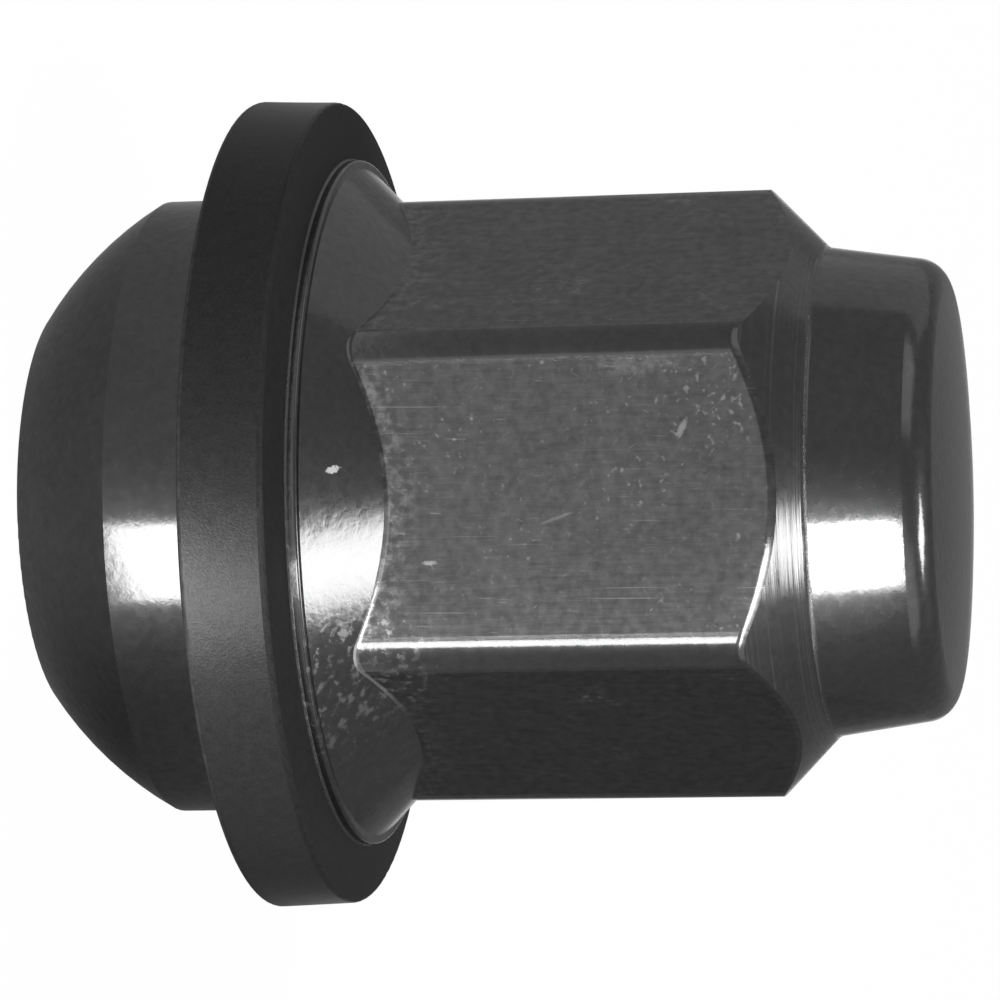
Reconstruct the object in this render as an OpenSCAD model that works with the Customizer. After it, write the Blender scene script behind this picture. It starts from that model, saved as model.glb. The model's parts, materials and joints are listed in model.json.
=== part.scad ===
// Closed-end lug nut with a ball seat, a flange, a hex and a domed cap, in millimetres.
// +Z runs along the stud axis from the seat end to the cap, and the seat end lies on z = 0.

/* [Thread] */
// Nominal thread diameter
thread_d = 12; // [10:0.5:12.5]
// Thread pitch
thread_pitch = 1.5; // [1:0.25:1.75]
// Room between the thread's root and the nominal diameter
root_clearance = 0.05; // [0.02:0.01:0.1]
// Depth of the thread from the seat end
thread_depth = 22; // [16:0.5:24]
// Depth of the tapping drill's full diameter
drill_depth = 28; // [26:0.5:29]
// Included angle of the drill's point, in degrees
drill_point = 118; // [90:2:140]
// Width of the countersink beyond the thread's root
mouth_lip = 0.45; // [0.2:0.05:0.7]
// Countersink's half angle, in degrees
mouth_angle = 45; // [30:5:60]

/* [Ball seat] */
// Radius of the ball that the seat is part of
seat_ball_r = 14; // [13.5:0.1:15]
// Diameter of the flat seat end, measured to where the ball would cut it
seat_end_d = 16.1; // [15.8:0.1:17]
// Rounding between the flat seat end and the ball
seat_edge_r = 0.4; // [0.2:0.05:0.6]
// Diameter of the straight neck between ball and flange
neck_d = 24.4; // [23.5:0.1:25]

/* [Flange] */
// Height of the flange's seat side above the seat end
flange_z = 8.4; // [7.5:0.1:9]
// Diameter of the flange at its seat side
flange_d = 32.1; // [31:0.1:34]
// Width of the rim along the axis
rim_w = 3.25; // [2.5:0.05:4]
// Draft of the rim toward the hex, in degrees
rim_draft = 2.5; // [0.5:0.5:4]
// Rounding of the rim's edge at the seat side
rim_front_r = 0.25; // [0.1:0.05:0.5]
// Rounding of the rim's edge at the hex side
rim_back_r = 0.25; // [0.1:0.05:0.5]
// Slope of the flange's back, in degrees
back_slope = 8.5; // [4:0.5:12]
// Fillet between neck and flange
neck_fillet = 0.3; // [0.1:0.05:0.6]

/* [Skirt] */
// Diameter of the thin step ring on the flange's back
ring_d = 27.2; // [26.6:0.1:28]
// Height of the step ring above the flange's back
ring_h = 0.45; // [0.3:0.05:0.6]
// Rounding of the step ring's edge
ring_edge_r = 0.15; // [0.05:0.05:0.2]
// Fillet in the corner at the step ring's foot
ring_fillet = 0.12; // [0.05:0.01:0.15]
// Set-in of the skirt from the step ring
skirt_lip = 0.35; // [0.25:0.05:0.5]
// Skirt's angle from the axis, in degrees
skirt_angle = 46; // [40:1:52]

/* [Hex] */
// Width across the flats
hex_af = 21; // [20:0.5:22]
// Rounding of the hex's corners
hex_corner_r = 1.4; // [0.6:0.1:1.8]
// Angle of the chamfer toward the cap, from the axis, in degrees
chamfer_angle = 46; // [40:1:55]

/* [Cap] */
// Height of the whole nut
nut_h = 36; // [35:0.1:38]
// Height at which the chamfer meets the cap
cap_z = 30.9; // [30:0.1:32]
// Diameter of the cap where it meets the chamfer
cap_d = 19.15; // [18.4:0.05:19.6]
// Taper of the cap's wall, in degrees
cap_taper = 8.5; // [4:0.5:10]
// Fillet between chamfer and cap
cap_fillet = 0.5; // [0.3:0.05:0.8]
// Rounding between the cap's wall and its domed end
cap_edge_r = 1.25; // [0.8:0.05:1.6]
// Radius of the domed end
dome_r = 68; // [50:1:100]

/* [Hidden] */
$fn = 128;

// How far joined shapes reach into each other
overlap = 2;
// Reach of the cutting shapes, as a multiple of what they cut
beyond = 1.5;
// Added to each rounding's radius, so that its arc crosses both of its neighbours
ease = 0.0005;

thread_root_r = thread_d / 2 + root_clearance;
drill_r = (thread_d - 1.0825 * thread_pitch) / 2;
drill_point_h = drill_r / tan(drill_point / 2);
mouth_h = mouth_lip / tan(mouth_angle);

seat_end_r = seat_end_d / 2;
neck_r = neck_d / 2;
seat_ball_z = sqrt(pow(seat_ball_r, 2) - pow(seat_end_r, 2));

rim_front = flange_d / 2;
rim_back = rim_front - rim_w * tan(rim_draft);
rim_back_z = flange_z + rim_w;
ring_r = ring_d / 2;
ring_z = rim_back_z + (rim_back - ring_r) * tan(back_slope);
skirt_r = ring_r - skirt_lip;
skirt_z = ring_z + ring_h;
core_r = hex_af / 2 - overlap;
core_z = skirt_z + (skirt_r - core_r) / tan(skirt_angle);

hex_corner = hex_af / 2 / cos(30);
cap_r = cap_d / 2;
chamfer_r = hex_corner + overlap;
chamfer_z = cap_z - (chamfer_r - cap_r) / tan(chamfer_angle);
dome_z = nut_h - dome_r;

function unit(v) = v / norm(v);

// Corner i of a closed outline, seen along its two sides
function before(pts, i) = unit(pts[(i + len(pts) - 1) % len(pts)] - pts[i]);
function after(pts, i) = unit(pts[(i + 1) % len(pts)] - pts[i]);
function half_angle(pts, i) = acos(before(pts, i) * after(pts, i)) / 2;
function middle(pts, i, r) = pts[i] + unit(before(pts, i) + after(pts, i)) * r / sin(half_angle(pts, i));
function leave(pts, i, r) = pts[i] + before(pts, i) * r / tan(half_angle(pts, i));
function rejoin(pts, i, r) = pts[i] + after(pts, i) * r / tan(half_angle(pts, i));

// True where corner i of an anticlockwise outline points outward
function outward(pts, i) = cross(before(pts, i), after(pts, i)) < 0;

// What lies between a tip and the arc of radius r about c that rounds it, touching its sides at a and b
module tip_outside_arc(c, a, tip, b, r) {
    difference() {
        polygon([for (q = [c, a, tip, b]) c + beyond * (q - c)]);
        translate(c) circle(r + ease);
    }
}

module tip_of(pts, i, r) {
    tip_outside_arc(middle(pts, i, r), leave(pts, i, r), pts[i], rejoin(pts, i, r), r);
}

// An anticlockwise outline whose corner i is rounded to radii[i], or left sharp at 0
module rounded(pts, radii) {
    difference() {
        union() {
            polygon(pts);
            for (i = [0 : len(pts) - 1])
                if (radii[i] > 0 && !outward(pts, i)) tip_of(pts, i, radii[i]);
        }
        for (i = [0 : len(pts) - 1])
            if (radii[i] > 0 && outward(pts, i)) tip_of(pts, i, radii[i]);
    }
}

// Half section of the ball seat and the neck, reaching into the flange
module seat_section() {
    ball_c = [0, seat_ball_z];
    edge_x = sqrt(pow(seat_ball_r - seat_edge_r, 2) - pow(seat_ball_z - seat_edge_r, 2));
    edge_c = [edge_x, seat_edge_r];
    on_ball = ball_c + unit(edge_c - ball_c) * seat_ball_r;
    difference() {
        intersection() {
            translate(ball_c) circle(seat_ball_r);
            square([neck_r, flange_z + rim_w / 2]);
        }
        tip_outside_arc(edge_c, [edge_x, 0], [seat_end_r, 0], on_ball, seat_edge_r);
    }
}

// Half section of flange, step ring and skirt, with a stretch of the neck for its fillet
module flange_section() {
    rounded(
        [
            [0, flange_z - 2 * neck_fillet],
            [neck_r, flange_z - 2 * neck_fillet],
            [neck_r, flange_z],
            [rim_front, flange_z],
            [rim_back, rim_back_z],
            [ring_r, ring_z],
            [ring_r, skirt_z],
            [skirt_r, skirt_z],
            [core_r, core_z],
            [0, core_z]
        ],
        [0, 0, neck_fillet, rim_front_r, rim_back_r, ring_fillet, ring_edge_r, 0, 0, 0]
    );
}

// Half section of the chamfer's cone and the cap with its domed end
module cap_section() {
    wall = [-sin(cap_taper), cos(cap_taper)];
    inward = [-cos(cap_taper), -sin(cap_taper)];
    foot = [cap_r, cap_z];
    dome_c = [0, dome_z];
    edge_up = climb(foot + inward * cap_edge_r - dome_c, wall, dome_r - cap_edge_r);
    edge_c = foot + inward * cap_edge_r + wall * edge_up;
    tip = foot + wall * climb(foot - dome_c, wall, dome_r);
    on_dome = dome_c + unit(edge_c - dome_c) * dome_r;
    over = foot + wall * (nut_h - cap_z) * beyond;
    difference() {
        intersection() {
            translate(dome_c) circle(dome_r);
            rounded(
                [
                    [0, flange_z],
                    [chamfer_r, flange_z],
                    [chamfer_r, chamfer_z],
                    foot,
                    over,
                    [0, over[1]]
                ],
                [0, 0, 0, cap_fillet, 0, 0]
            );
        }
        tip_outside_arc(edge_c, foot + wall * edge_up, tip, on_dome, cap_edge_r);
    }
}

// Distance along a direction from a point until it is r away from the centre that the point is given from
function climb(from, dir, r) = -(from * dir) + sqrt(pow(from * dir, 2) - from * from + r * r);

// Six-sided prism with rounded corners and a flat toward each of -Y and +Y
module hex_prism() {
    translate([0, 0, flange_z + rim_w / 2])
        linear_extrude(nut_h)
            rounded(
                [for (i = [0 : 5]) hex_corner * [cos(60 * i), sin(60 * i)]],
                [for (i = [0 : 5]) hex_corner_r]
            );
}

// The prism as the chamfer's cone and the cap leave it
module hex_and_cap() {
    intersection() {
        hex_prism();
        rotate_extrude() cap_section();
    }
}

// Blind hole at the thread's root, with its countersunk mouth, the plain drilled end and the drill's point
module stud_hole() {
    rotate_extrude()
        polygon([
            [0, -mouth_h],
            [thread_root_r + 2 * mouth_lip, -mouth_h],
            [thread_root_r, mouth_h],
            [thread_root_r, thread_depth],
            [drill_r, thread_depth],
            [drill_r, drill_depth],
            [0, drill_depth + drill_point_h]
        ]);
}

module lug_nut() {
    color([0.30, 0.30, 0.31])
        difference() {
            union() {
                rotate_extrude() {
                    seat_section();
                    flange_section();
                }
                hex_and_cap();
            }
            stud_hole();
        }
}

lug_nut();
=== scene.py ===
import json
import math

import bmesh
import bpy
from mathutils import Matrix, Vector


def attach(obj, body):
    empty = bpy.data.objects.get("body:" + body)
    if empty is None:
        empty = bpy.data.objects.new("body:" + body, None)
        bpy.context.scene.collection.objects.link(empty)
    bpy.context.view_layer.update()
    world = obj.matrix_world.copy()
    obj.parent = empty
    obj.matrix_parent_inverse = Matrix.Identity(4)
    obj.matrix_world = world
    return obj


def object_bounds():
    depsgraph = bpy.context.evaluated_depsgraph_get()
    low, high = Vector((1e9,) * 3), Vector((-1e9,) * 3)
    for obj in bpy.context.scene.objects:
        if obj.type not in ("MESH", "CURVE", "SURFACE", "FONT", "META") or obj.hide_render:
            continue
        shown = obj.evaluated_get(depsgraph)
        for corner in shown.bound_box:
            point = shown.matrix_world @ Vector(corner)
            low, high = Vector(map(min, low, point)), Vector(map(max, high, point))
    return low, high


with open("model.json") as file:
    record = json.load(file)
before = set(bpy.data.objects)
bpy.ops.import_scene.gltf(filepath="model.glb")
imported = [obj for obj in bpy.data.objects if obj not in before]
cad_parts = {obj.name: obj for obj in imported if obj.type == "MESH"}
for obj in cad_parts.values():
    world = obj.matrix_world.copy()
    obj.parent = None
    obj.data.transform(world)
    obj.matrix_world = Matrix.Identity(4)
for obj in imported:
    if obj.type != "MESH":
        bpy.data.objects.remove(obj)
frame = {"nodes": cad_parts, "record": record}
cad_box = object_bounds()

MM = 0.001
NUT = "lug_nut"

# Thread, in millimetres, as the solid leaves room for it
MOUNTS = {mount["name"]: mount for mount in frame["record"]["mounts"]}
THREAD_ROOT_R = MOUNTS["stud_thread"]["dims"]["r_mm"]
THREAD_CREST_R = 5.19
THREAD_PITCH = 1.5
THREAD_FROM = 0.72
THREAD_TO = 21.2
# How far the ridge reaches into the wall, and its width at the end as a share of the whole
THREAD_BURIED = 0.03
THREAD_END_WIDTH = 0.3
# Turns over which the ridge runs out, and straight pieces to a turn
THREAD_RUNOUT = 0.75
THREAD_PIECES = 96
MOUTH_LIP = 0.45
MOUTH_R = THREAD_ROOT_R + MOUTH_LIP

# Places on the nut that the finishes follow, in millimetres
NUT_H = round(cad_box[1][2] / MM, 3)
NECK_R = 12.2
FLANGE_Z = 8.4
FLANGE_R = 16.05
RING_R = 13.6
HEX_FLAT_R = 10.5
HEX_FOOT_Z = 13.6
# Distance from the axis at which a flat ends in the rounded corner
FLAT_END_R = 11.72
CHAMFER_FOOT_Z = 28.4
HOLE_END_Z = 32.0
# The side toward the camera starts here
NEAR_SIDE_Y = -9.2

# Chamfer and skirt are cones of one angle to the axis, each through a known radius and height
CONE_ANGLE = math.radians(46)
CHAMFER_TOP = (9.575, 30.9)
SKIRT_FOOT = (13.25, 12.445)

# Width of the hex's rounded edges at the chamfer and at the skirt, in millimetres
UPPER_EDGE_WIDTH = 0.42
LOWER_EDGE_WIDTH = 0.22

# Brightness and roughness of the finishes before their marks
PLATE_LEVEL = 0.109
PLATE_ROUGH = 0.14
FORGED_LEVEL = 0.050
HOLE_LEVEL = 0.08

# Marks of use, in millimetres; the far side has this share of the near side's scratches and specks
FAR_SHARE = 0.35
NICK_AT = (-1.25, 13.5)
PITS_AT = (7.0, -10.3, 13.5)
SPECKS_AT = (-3.7, -10.5, 27.5)
# Scratches: angle to the axis in degrees, length, width, seed, ends of the range of noise shown, strength
SCRATCHES = [
    (3, 1.3, 0.09, 1.7, 0.72, 0.82, 0.7),
    (24, 0.9, 0.08, 5.1, 0.76, 0.84, 1.0),
    (-38, 0.7, 0.08, 9.4, 0.77, 0.85, 1.0),
    (1, 4.5, 0.07, 13.2, 0.71, 0.80, 0.8),
]
# Knocks on the front flat: x and height of the middle, half length, half width, slant in degrees, strength
KNOCKS = [
    (2.34, 16.8, 0.30, 0.09, 0, 1.0),
    (-2.49, 26.5, 0.40, 0.13, -65, 0.7),
    (0.75, 21.7, 0.70, 0.07, -18, 0.3),
]
RUB = (-4.9, 24.9, 2.0, 0.4, 0)

# Floor: gap to the seat end in millimetres, so that the two don't share a plane, half width in metres, tone
FLOOR_GAP = 0.02
FLOOR_HALF = 3.0
FLOOR_TONE = 0.38

# Camera fitted to the photograph: distance, swing toward the cap, roll, and pixels per millimetre
VIEW_DISTANCE = 200.0
VIEW_SWING = math.radians(10.744)
VIEW_ROLL = math.radians(1.26)
VIEW_SCALE = 25.2325
FRAME_PX = 1000.0
AIM_HEIGHT = NUT_H / 2
AIM_PX = (511.6, 499.0)
SENSOR_WIDTH = 36.0
NEAR_CLIP = 5.0


class Value:
    """A node socket that takes part in Python arithmetic."""

    def __init__(self, finish, socket):
        self.finish, self.socket = finish, socket

    def math(self, operation, *others):
        return self.finish.node("ShaderNodeMath", {"operation": operation}, *((self,) + others))

    def __add__(self, other):
        return self.math("ADD", other)

    def __sub__(self, other):
        return self.math("SUBTRACT", other)

    def __mul__(self, other):
        return self.math("MULTIPLY", other)

    def __truediv__(self, other):
        return self.math("DIVIDE", other)

    def __pow__(self, other):
        return self.math("POWER", other)

    def __rsub__(self, other):
        return self.finish.node("ShaderNodeMath", {"operation": "SUBTRACT"}, other, self)

    def __rtruediv__(self, other):
        return self.finish.node("ShaderNodeMath", {"operation": "DIVIDE"}, other, self)

    def __abs__(self):
        return self.math("ABSOLUTE")

    __radd__ = __add__
    __rmul__ = __mul__

    def least(self, other):
        return self.math("MINIMUM", other)

    def most(self, other):
        return self.math("MAXIMUM", other)

    def step(self, low, high):
        """0 below low, 1 above high and a smooth rise between; low may be the larger one."""
        settings = {"interpolation_type": "SMOOTHSTEP", "clamp": True}
        if low < high:
            return self.finish.node("ShaderNodeMapRange", settings, self, low, high, 0.0, 1.0)
        return self.finish.node("ShaderNodeMapRange", settings, self, high, low, 1.0, 0.0)

    def near(self, middle, reach):
        """1 at middle, falling to 0 at a distance of reach."""
        return abs(self - middle).step(reach, 0.0)


class Finish:
    """The nodes of a material or of the world while they are being laid out."""

    def __init__(self, owner):
        self.material = bpy.data.materials.new(owner) if isinstance(owner, str) else owner
        self.material.use_nodes = True
        self.tree = self.material.node_tree
        self.tree.nodes.clear()

    def node(self, kind, settings=None, *inputs, out=0, **named):
        made = self.tree.nodes.new(kind)
        for key, setting in (settings or {}).items():
            setattr(made, key, setting)
        for key, given in list(enumerate(inputs)) + list(named.items()):
            socket = made.inputs[key.replace("_", " ") if isinstance(key, str) else key]
            if isinstance(given, Value):
                self.tree.links.new(given.socket, socket)
            elif given is not None:
                socket.default_value = given
        return Value(self, made.outputs[out]) if made.outputs else None

    def vector(self, x, y, z):
        return self.node("ShaderNodeCombineXYZ", None, x, y, z)

    def split(self, vector):
        """The x, y and z of a vector."""
        return [self.node("ShaderNodeSeparateXYZ", None, vector, out=i) for i in range(3)]

    def scaled(self, vector, factor):
        return self.node("ShaderNodeVectorMath", {"operation": "SCALE"}, vector, Scale=factor)

    def here(self):
        """The surface point, in millimetres."""
        return self.scaled(self.node("ShaderNodeTexCoord", out="Object"), 1 / MM)

    def noise(self, where, scale, detail=2.0, roughness=0.5):
        return self.node(
            "ShaderNodeTexNoise", None, Vector=where, Scale=scale, Detail=detail, Roughness=roughness
        )

    def blend(self, share, first, second):
        """One colour or vector into another; the node's seventh and eighth sockets take them."""
        unused = (None,) * 5
        return self.node("ShaderNodeMix", {"data_type": "RGBA"}, share, *unused, first, second, out=2)

    def surface(self, shader):
        self.node("ShaderNodeOutputMaterial", None, shader)
        return self.material


def grey(level):
    return (level, level, level, 1.0)


def from_axis(x, y):
    """Distance from the nut's axis."""
    return (x * x + y * y) ** 0.5


def cone_height(known, radius):
    """Height of the cone through a known radius and height, at another radius."""
    return known[1] - (radius - known[0]) / math.tan(CONE_ANGLE)


def slanted(degrees, upright, level):
    """An upright and a level distance, measured along a slanted line and beside it instead."""
    c, s = math.cos(math.radians(degrees)), math.sin(math.radians(degrees))
    return upright * c + level * s, level * c - upright * s


def strongest(marks):
    """The largest of several values at each point."""
    largest = marks[0]
    for mark in marks[1:]:
        largest = largest.most(mark)
    return largest


class Skin:
    """The nut's surface as its finish sees it: the point in millimetres, its zones and its noises."""

    def __init__(self, finish):
        self.finish = finish
        self.here = finish.here()
        self.x, self.y, self.z = finish.split(self.here)
        self.radius = from_axis(self.x, self.y)
        self.turn = self.y.math("ARCTAN2", self.x)
        self.across = self.turn * HEX_FLAT_R
        self.facing = finish.node("ShaderNodeTexCoord", out="Normal")
        self.upward = finish.split(self.facing)[2]
        self.above_skirt = self.z - cone_height(SKIRT_FOOT, self.radius)
        self.below_chamfer = cone_height(CHAMFER_TOP, self.radius) - self.z
        self.lay_zones()
        self.lay_noises()

    def lay_zones(self):
        """Each zone is 1 where it lies and 0 elsewhere, with a soft border."""
        z, radius, upward = self.z, self.radius, self.upward
        seat_side = z.near(FLANGE_Z, 0.08) * radius.step(NECK_R + 0.2, NECK_R + 0.4)
        rim_and_back = radius.step(RING_R, RING_R + 0.1) * z.step(FLANGE_Z - 0.1, FLANGE_Z + 0.05)
        self.forged = rim_and_back.most(seat_side)
        self.rim_edge = z.near(FLANGE_Z + 0.12, 0.12) * radius.step(FLANGE_R - 0.25, FLANGE_R - 0.15)
        upright = abs(upward).step(0.3, 0.12) * radius.step(HEX_FLAT_R - 0.3, HEX_FLAT_R - 0.1)
        self.hexagon = upright * z.step(HEX_FOOT_Z - 0.2, HEX_FOOT_Z + 0.2)
        self.flats = self.hexagon * radius.step(FLAT_END_R + 0.04, FLAT_END_R - 0.04)
        sloping = upward.step(0.3, 0.5) * z.step(CHAMFER_FOOT_Z - 0.2, CHAMFER_FOOT_Z + 0.2)
        self.turned = sloping * z.step(CHAMFER_TOP[1] + 0.9, CHAMFER_TOP[1] + 0.4)
        self.dome = z.step(NUT_H - 0.8, NUT_H - 0.4)
        self.hole = radius.step(MOUTH_R + 0.2, MOUTH_R - 0.1) * z.step(HOLE_END_Z + 1, HOLE_END_Z)
        self.plated = (1 - self.forged) * (1 - self.hole)
        self.near_side = self.y.step(NEAR_SIDE_Y + 0.2, NEAR_SIDE_Y - 0.2)
        self.handled = FAR_SHARE + (1 - FAR_SHARE) * self.near_side

    def lay_noises(self):
        """From broad clouds to fine grain, and two that run along the hex."""
        self.cloud = self.finish.noise(self.here, 0.35, 2.0)
        self.mottle = self.finish.noise(self.here, 2.6, 4.0, 0.62)
        self.grain = self.finish.noise(self.here, 11.0, 2.0, 0.65)
        self.along_hex = self.finish.vector(self.across * 9.0, self.z * 0.22, 0.0)
        self.brushed = self.finish.noise(self.along_hex, 1.0, 3.0, 0.65)
        fine_along_hex = self.finish.vector(self.across * 24.0, self.z * 0.9, 3.0)
        self.fine_brush = self.finish.noise(fine_along_hex, 1.0, 2.0, 0.6)

    def away(self, point):
        """Distance from a point on the nut."""
        return ((self.x - point[0]) ** 2 + (self.y - point[1]) ** 2 + (self.z - point[2]) ** 2) ** 0.5


def rounded_edges(on):
    """The normal, bent toward the cones where the flats run out into the chamfer and into the skirt."""
    upper = on.hexagon * on.below_chamfer.step(UPPER_EDGE_WIDTH, 0.0)
    lower = on.hexagon * on.above_skirt.step(LOWER_EDGE_WIDTH, 0.0)
    bend = upper + lower
    lean = bend * math.cos(CONE_ANGLE) / on.radius
    toward_cone = on.finish.vector(on.x * lean, on.y * lean, bend * math.sin(CONE_ANGLE))
    bent = on.finish.node("ShaderNodeVectorMath", {"operation": "ADD"}, on.facing, toward_cone)
    return on.finish.node("ShaderNodeVectorMath", {"operation": "NORMALIZE"}, bent)


def scratched(on):
    """Short straight scratches on the flats, at several angles to the axis."""
    marks = []
    for angle, length, width, seed, low, high, strength in SCRATCHES:
        along, aside = slanted(angle, on.z, on.across)
        where = on.finish.vector(along / length, aside / width, seed)
        marks.append(on.finish.noise(where, 1.0, 1.0).step(low, high) * strength)
    return strongest(marks) * on.flats * on.handled


def pitted(on):
    """Flaked spots around one place on the skirt, and scattered ones on the other sides."""
    scattered = on.cloud.step(0.62, 0.74) * 0.7 * on.z.step(30, 28) * (1 - on.near_side)
    spread = on.away(PITS_AT).step(4.4, 2.0).most(scattered)
    blotches = on.finish.noise(on.here, 2.5, 2.0, 0.6)
    return blotches.step(0.50, 0.70) * spread * on.plated


def nicked(on):
    """One bright nick on the skirt, slanted and with a ragged outline."""
    aside, above = on.x - NICK_AT[0], on.z - NICK_AT[1]
    ragged = (on.grain - 0.5) * 2.5
    dent = (aside * 6.4 + above * 1.7) ** 2 + (above * 4.2) ** 2 + ragged
    return dent.step(1.0, 0.5) * on.y.step(-10, -11)


def speckled(on):
    """Pale specks on the flats, thicker toward the skirt, in clouds and in one patch near the chamfer."""
    patch = on.away(SPECKS_AT).step(2.6, 1.0)
    dusted = (0.3 + on.z.step(16.0, 14.2) + on.cloud.step(0.54, 0.66) + patch).least(1.0)
    dots = on.finish.noise(on.here, 4.4, 1.0)
    return (dots + patch * 0.05).step(0.62, 0.80) * on.flats * dusted * on.handled


def knock(on, aside, height, length, width, slant):
    """One soft mark on the front flat, given by its middle, half length, half width and slant."""
    along, beside = slanted(slant, on.z - height, on.x - aside)
    ragged = (on.grain - 0.5) * 1.5
    return ((along / length) ** 2 + (beside / width) ** 2 + ragged).step(1.5, 0.0)


def knocked(on):
    """What knocks and one rubbed streak add to the brightness of the front flat."""
    knocks = strongest([knock(on, *form) * strength for *form, strength in KNOCKS])
    rub = knock(on, *RUB) * on.mottle.step(0.3, 0.6)
    return on.flats * on.near_side * (knocks * 0.32 + rub * 0.08)


def laid_relief(on):
    """One relief, laid along the hex, around the chamfer, fine on the forged rim and faint elsewhere."""
    laid = on.finish.blend(on.forged, on.finish.scaled(on.here, 2.6), on.finish.scaled(on.here, 11))
    laid = on.finish.blend(on.flats, laid, on.along_hex)
    rings = on.finish.vector(on.radius * 9.0, on.z * 9.0, on.turn * 0.4)
    return on.finish.noise(on.finish.blend(on.turned, laid, rings), 1.0, 2.0, 0.62)


def plating():
    """Dark plating over the whole nut: polished, brushed on the hex, matte on the forged rim."""
    finish = Finish("dark_plating")
    on = Skin(finish)
    clouding, mottling, graining = on.cloud - 0.5, on.mottle - 0.5, on.grain - 0.5
    brushing, fine_brushing = on.brushed - 0.5, on.fine_brush - 0.5
    relief = laid_relief(on)
    scratches = scratched(on)
    pits = pitted(on)
    nick = nicked(on)
    worn = on.flats * on.above_skirt.step(1.6, 0.0) * on.mottle.step(0.40, 0.72) * on.handled
    # Painted highlight: a bright line on the front flat's lower edge by the skirt, on the lit side toward
    # +X
    painted_edge_highlight = on.hexagon * on.above_skirt.step(0.26, 0.12) * on.x.step(-1.0, 3.5) * on.y.step(-6.0, -9.6)

    # Brightness of plating and flats with marks and a painted highlight, then forged rim and hole in their
    # places
    level = PLATE_LEVEL + clouding * 0.03 + mottling * 0.03 + on.turned * relief.step(0.52, 0.72) * 0.12
    level = level + on.flats * (0.012 + brushing * 0.05 + fine_brushing * 0.06 + mottling * 0.10)
    level = level + scratches * 0.14 + speckled(on) * 0.16 + worn * 0.17 + painted_edge_highlight * 0.45 + knocked(on)
    level = level * (1 - on.forged) + on.forged * (FORGED_LEVEL + graining * 0.04 + mottling * 0.03)
    level = level * (1 - on.hole) + on.hole * (HOLE_LEVEL + mottling * 0.04)
    level = level + pits * 0.17 + nick * 0.7 + on.rim_edge * (on.mottle - 0.2) * 0.12

    rough = PLATE_ROUGH + mottling * 0.08 + on.flats * (0.07 + brushing * 0.08)
    rough = rough + on.forged * (0.24 + 0.2 * on.upward.step(0.5, 0.9)) + on.hole * 0.18
    rough = rough + pits * 0.22 + (scratches + worn * 0.4) * 0.1 + on.dome * 0.03 + nick * 0.3
    haze = (0.85 + mottling * 0.9) * on.plated * (1 - on.flats * 0.6)

    # Depth of the relief, in millimetres
    depth = 0.0050 - on.flats * 0.0018 + on.forged * 0.007 + on.turned * 0.011
    height = (relief - 0.5) * depth
    uneven = finish.node(
        "ShaderNodeBump", None, Strength=1.0, Distance=MM, Height=height, Normal=rounded_edges(on)
    )
    shader = finish.node(
        "ShaderNodeBsdfPrincipled", None,
        Base_Color=finish.vector(level, level, level * 1.01),
        Metallic=1 - on.forged * 0.45, Roughness=rough, Specular_IOR_Level=0.25, Normal=uneven,
        Specular_Tint=grey(0.7), Coat_Weight=haze, Coat_Roughness=0.44, Coat_IOR=1.5,
    )
    return finish.surface(shader)


def look_at(place, target, right_hint=None):
    """Where a thing stands that looks from a place at a target, upright unless its right is given."""
    back = (Vector(place) - Vector(target)).normalized()
    side = Vector(right_hint) if right_hint else Vector((0, 0, 1)).cross(back)
    side = (side - back * side.dot(back)).normalized()
    up = back.cross(side)
    turned = Matrix((side, up, back)).transposed().to_4x4()
    return Matrix.Translation(Vector(place)) @ turned


def camera():
    """The photograph's view, in which the nut lies on its side: its axis runs to the right."""
    swing, roll = VIEW_SWING, VIEW_ROLL
    aim = Vector((0, 0, AIM_HEIGHT))
    back = Vector((0, -math.cos(swing), math.sin(swing)))
    right = Vector((0, math.sin(swing), math.cos(swing)))
    up = back.cross(right)
    right, up = right * math.cos(roll) - up * math.sin(roll), right * math.sin(roll) + up * math.cos(roll)
    place = aim + back * VIEW_DISTANCE
    middle = FRAME_PX / 2
    target = aim - right * (AIM_PX[0] - middle) / VIEW_SCALE + up * (AIM_PX[1] - middle) / VIEW_SCALE
    data = bpy.data.cameras.new("camera")
    data.sensor_width = SENSOR_WIDTH
    data.lens = SENSOR_WIDTH * VIEW_DISTANCE * VIEW_SCALE / FRAME_PX
    data.clip_start = NEAR_CLIP * MM
    made = bpy.data.objects.new("camera", data)
    bpy.context.collection.objects.link(made)
    made.matrix_world = look_at(place * MM, target * MM, right)
    bpy.context.scene.camera = made


def lamp(name, place, target, size, radiance, fan=None):
    """A rectangular lamp, in millimetres, that shows the given brightness in a mirror.

    Its light may be kept within a fan of so many degrees, falling off toward the fan's rim.
    """
    data = bpy.data.lights.new(name, "AREA")
    data.shape = "RECTANGLE"
    data.size, data.size_y = size[0] * MM, size[1] * MM
    data.energy = radiance * math.pi * data.size * data.size_y
    if fan:
        # A fan gathers the light in its middle, so the energy comes down to keep the brightness there
        half = math.radians(fan) / 2
        data.spread = 2 * half
        data.energy *= 1 - half / math.tan(half)
    made = bpy.data.objects.new(name, data)
    bpy.context.collection.objects.link(made)
    made.matrix_world = look_at(Vector(place) * MM, Vector(target) * MM)
    made.visible_camera = False


def card(name, place, target, size, level):
    """A plain board, in millimetres, that is only there to be reflected."""
    finish = Finish(name)
    w, h = size[0] * MM / 2, size[1] * MM / 2
    mesh = bpy.data.meshes.new(name)
    mesh.from_pydata([(-w, -h, 0), (w, -h, 0), (w, h, 0), (-w, h, 0)], [], [(0, 1, 2, 3)])
    mesh.materials.append(finish.surface(finish.node("ShaderNodeEmission", None, grey(1.0), level)))
    made = bpy.data.objects.new(name, mesh)
    bpy.context.collection.objects.link(made)
    made.matrix_world = look_at(Vector(place) * MM, Vector(target) * MM)
    made.visible_camera = made.visible_diffuse = made.visible_shadow = False


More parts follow.
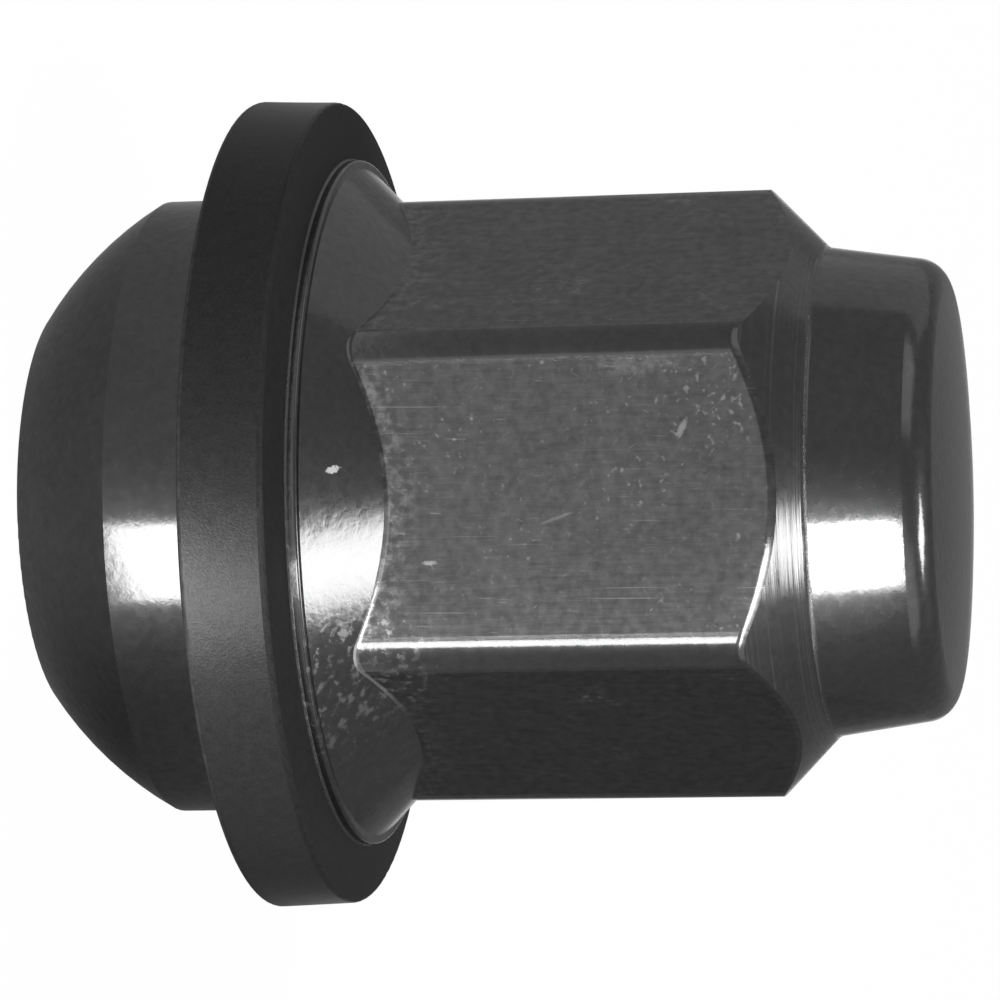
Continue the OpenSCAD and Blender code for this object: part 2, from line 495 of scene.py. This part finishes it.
def polar(azimuth, elevation, distance):
    """A point seen from the nut's middle, with azimuth 0 at the camera and +X at 90."""
    a, e = math.radians(azimuth), math.radians(elevation)
    flat = distance * math.cos(e)
    return (flat * math.sin(a), -flat * math.cos(a), AIM_HEIGHT + distance * math.sin(e))


def lights():
    """Strips for the highlights on seat, hex and cap, a broad lamp overhead, and cards at the back."""
    lamp("seat_strip", (8.7, -28, 3.5), (8.7, 0, 3.5), (12.6, 6.4), 10.5)
    lamp("edge_strip", (15.2, -40, 16.5), (15.2, 0, 16.5), (7.6, 21), 9.0)
    lamp("cap_strip", (6.6, -15.5, 33.2), (-1.85, 0, 29.5), (7.4, 5.2), 45.0, 44)
    lamp("corner_strip", (4.3, -14.5, 31.0), (4.3, 0, 24.85), (3.6, 2.4), 30.0, 40)
    lamp("top_box", polar(61, 75, 300), (0, 0, 14), (90, 90), 9.0)
    lamp("back_seat_strip", (0, 28, 3.5), (0, 0, 3.5), (12, 6.4), 4.0)
    lamp("far_card", (-54, 25, 60), (0, 0, 60), (50, 60), 0.2)
    card("grey_card", (-46, 26, 17), (0, 0, 17), (34, 34), 0.43)
    card("dark_card", (46, 26, 17), (0, 0, 17), (34, 34), 0.16)


def sky():
    """White to the camera, and otherwise grey, darker behind the nut and lighter at its front sides."""
    world = bpy.data.worlds.new("studio")
    bpy.context.scene.world = world
    finish = Finish(world)
    x, y, z = finish.split(finish.node("ShaderNodeTexCoord", out="Generated"))
    camera_ray = finish.node("ShaderNodeLightPath", out="Is Camera Ray")
    aside = abs(x) / abs(y).most(0.01)
    front_sides = y.step(-0.05, -0.2) * aside.step(0.4, 0.8) * z.step(0.19, 0.34) * z.step(0.8, 0.6)
    level = (0.25 - 0.04 * y.step(-0.1, 0.8) + 0.5 * front_sides) * (1 - camera_ray) + camera_ray
    finish.node("ShaderNodeOutputWorld", None, finish.node("ShaderNodeBackground", None, grey(1.0), level))


def floor_finish():
    """White to the camera, a grey that takes the nut's shadow plus painted shade, and clear from below.

    The metal mirrors painted zones of glow on it, dimmer or lighter by distance from the axis and by side.
    """
    finish = Finish("pale_floor")
    camera_ray = finish.node("ShaderNodeLightPath", out="Is Camera Ray")
    glossy_ray = finish.node("ShaderNodeLightPath", out="Is Glossy Ray")
    transmission_ray = finish.node("ShaderNodeLightPath", out="Is Transmission Ray")
    x, y, _ = finish.split(finish.here())
    radius = from_axis(x, y)
    aside = abs(x) / abs(y).most(1.0)
    # Painted shade: darker floor beside the nut on the +X side, also dimmer in reflections
    shaded = x.step(0.0, 12.0) * radius.step(46, 40)
    farther = radius.step(47, 53)
    ahead = radius.step(40, 75) * aside.step(0.34, 0.2)
    around = farther * radius.step(76, 70)
    behind = farther * radius.step(135, 115) * y.step(5, 20) * aside.step(1.45, 1.2)
    # Painted reflection: the floor under the hole glows for mirror rays so the thread shows
    under_hole = radius.step(MOUTH_R + 0.9, MOUTH_R + 0.4)
    mirrored = 0.14 - 0.10 * shaded + 0.56 * strongest([ahead, around, behind, under_hole])
    share = strongest([camera_ray * 0.94, glossy_ray * mirrored, transmission_ray * 0.94])
    tone = FLOOR_TONE - 0.23 * shaded
    diffuse = finish.node("ShaderNodeBsdfDiffuse", None, Color=finish.vector(tone, tone, tone))
    glow = finish.node("ShaderNodeEmission", None, Color=grey(1.0), Strength=1.05)
    topside = finish.node("ShaderNodeMixShader", None, share, diffuse, glow)
    below = finish.node("ShaderNodeNewGeometry", out="Backfacing")
    clear = finish.node("ShaderNodeBsdfTransparent")
    return finish.surface(finish.node("ShaderNodeMixShader", None, below, topside, clear))


def floor():
    s, d = FLOOR_HALF, -FLOOR_GAP * MM
    mesh = bpy.data.meshes.new("floor")
    mesh.from_pydata([(-s, -s, d), (s, -s, d), (s, s, d), (-s, s, d)], [], [(0, 1, 2, 3)])
    mesh.materials.append(floor_finish())
    made = bpy.data.objects.new("floor", mesh)
    bpy.context.collection.objects.link(made)


def thread(material):
    """The ridge of the right-hand thread, from the countersunk mouth to its run-out."""
    # Half widths of a standard profile at the root and at the crest
    root, crest = THREAD_PITCH * 7 / 16, THREAD_PITCH / 8
    buried = THREAD_ROOT_R + THREAD_BURIED
    profile = [(buried, -root), (THREAD_CREST_R, -crest), (THREAD_CREST_R, crest), (buried, root)]
    steps = int(THREAD_PIECES * (THREAD_TO - THREAD_FROM) / THREAD_PITCH)
    corners, faces = [], []
    for i in range(steps + 1):
        angle = 2 * math.pi * i / THREAD_PIECES
        rise = THREAD_FROM + THREAD_PITCH * i / THREAD_PIECES
        runout = min(1.0, (steps - i) / (THREAD_RUNOUT * THREAD_PIECES))
        width = THREAD_END_WIDTH + (1 - THREAD_END_WIDTH) * runout
        for r, dz in profile:
            height = rise + dz * width
            r = buried - (buried - r) * runout
            # The countersink opens at 45 degrees
            r = max(r, MOUTH_R - height)
            corners.append((r * math.cos(angle) * MM, r * math.sin(angle) * MM, height * MM))
    n = len(profile)
    for i in range(steps):
        for j in range(n):
            k = (j + 1) % n
            faces.append((i * n + j, i * n + k, (i + 1) * n + k, (i + 1) * n + j))
    faces.append(tuple(range(n - 1, -1, -1)))
    faces.append(tuple(steps * n + j for j in range(n)))
    mesh = bpy.data.meshes.new("thread")
    mesh.from_pydata(corners, [], faces)
    shell = bmesh.new()
    shell.from_mesh(mesh)
    bmesh.ops.recalc_face_normals(shell, faces=shell.faces)
    shell.to_mesh(mesh)
    shell.free()
    mesh.materials.append(material)
    made = bpy.data.objects.new("thread", mesh)
    bpy.context.collection.objects.link(made)
    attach(made, "root")


bpy.context.scene.view_settings.view_transform = "Standard"

camera()
lights()
sky()
floor()
steel = plating()
nut = frame["nodes"][NUT]
for place in nut.material_slots:
    place.material = steel
thread(steel)
